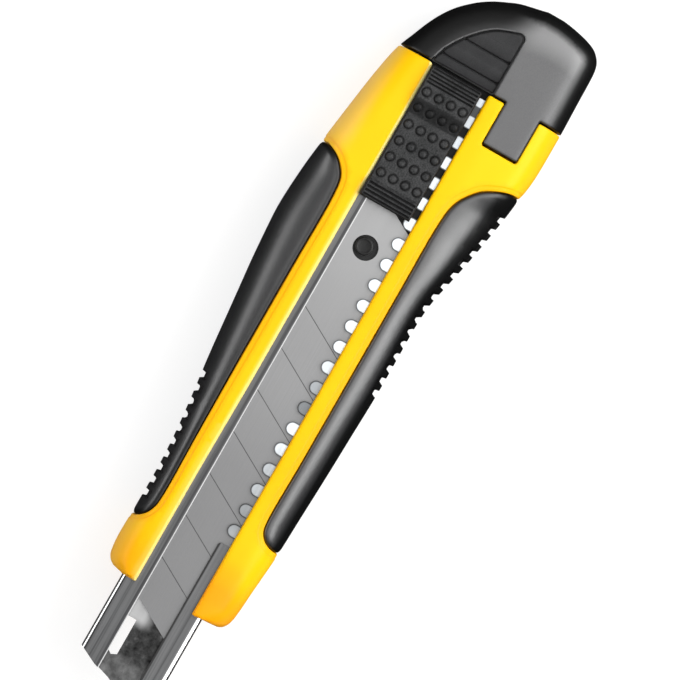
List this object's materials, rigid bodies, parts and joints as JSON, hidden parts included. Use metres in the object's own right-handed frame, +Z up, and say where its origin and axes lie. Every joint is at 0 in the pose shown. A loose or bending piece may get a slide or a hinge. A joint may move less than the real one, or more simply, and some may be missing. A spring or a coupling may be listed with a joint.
{
  "type": "snap-off utility knife",
  "caption": "Snap-off utility knife with a contoured plastic handle, rubber side grips, steel rail, sliding thumb lock and a pull-off end cap.",
  "frame": {"origin": "middle of the whole knife's footprint, on the surface it lies on, with the end cap on and the blade carriage fully back", "axes": "+X along the handle towards the nose of the rail, +Y towards the blade's cutting edge, +Z up out of the slider side"},
  "size_m": [0.174, 0.0444, 0.0214],
  "materials": {
    "yellow_plastic": "satin moulded ABS, warm yellow",
    "black_rubber": "fine matt overmould",
    "black_plastic": "matt moulded",
    "button_plastic": "fine spark-eroded texture",
    "cap_plastic": "satin moulded with a polished rim",
    "rail_steel": "brushed",
    "blade_steel": "ground and lightly oiled",
    "spring_steel": "bright",
    "screw_steel": "zinc plated"
  },
  "bodies": {
    "handle": {"front_shell": "yellow_plastic", "rear_shell": "yellow_plastic", "front_right_grip": "black_rubber", "front_left_grip": "black_rubber", "rear_right_grip": "black_rubber", "rear_left_grip": "black_rubber", "rail": "rail_steel", "rail_rivets": "screw_steel", "blade_tray": "black_plastic", "tray_spring": "spring_steel", "spare_blades": "blade_steel", "shell_screws": "screw_steel"},
    "carriage": {"blade_carrier": "black_plastic", "blade_peg": "black_plastic", "blade": "blade_steel", "lock_spring": "spring_steel", "button_spring": "spring_steel"},
    "thumb_button": {"thumb_button": "button_plastic"},
    "lock_pawl": {"lock_pawl": "rail_steel"},
    "end_cap": {"end_cap": "cap_plastic", "cap_pad": "black_rubber"}
  },
  "joints": [
    {"name": "blade_slide", "type": "slide", "parent": "handle", "child": "carriage", "axis": [1, 0, 0], "range_m": [0, 0.0891]},
    {"name": "button_shift", "type": "slide", "parent": "carriage", "child": "thumb_button", "axis": [1, 0, 0], "range_m": [-0.0007, 0], "stiffness_N_per_m": 400, "springref_m": -0.0007},
    {"name": "pawl_slide", "type": "slide", "parent": "carriage", "child": "lock_pawl", "axis": [0, 1, 0], "range_m": [0, 0.0017]},
    {"name": "cap_pull", "type": "slide", "parent": "handle", "child": "end_cap", "axis": [-1, 0, 0], "range_m": [0, 0.035]}
  ],
  "couplings": [
    {"joint": "pawl_slide", "follows": "button_shift", "ratio": -2.4}
  ]
}
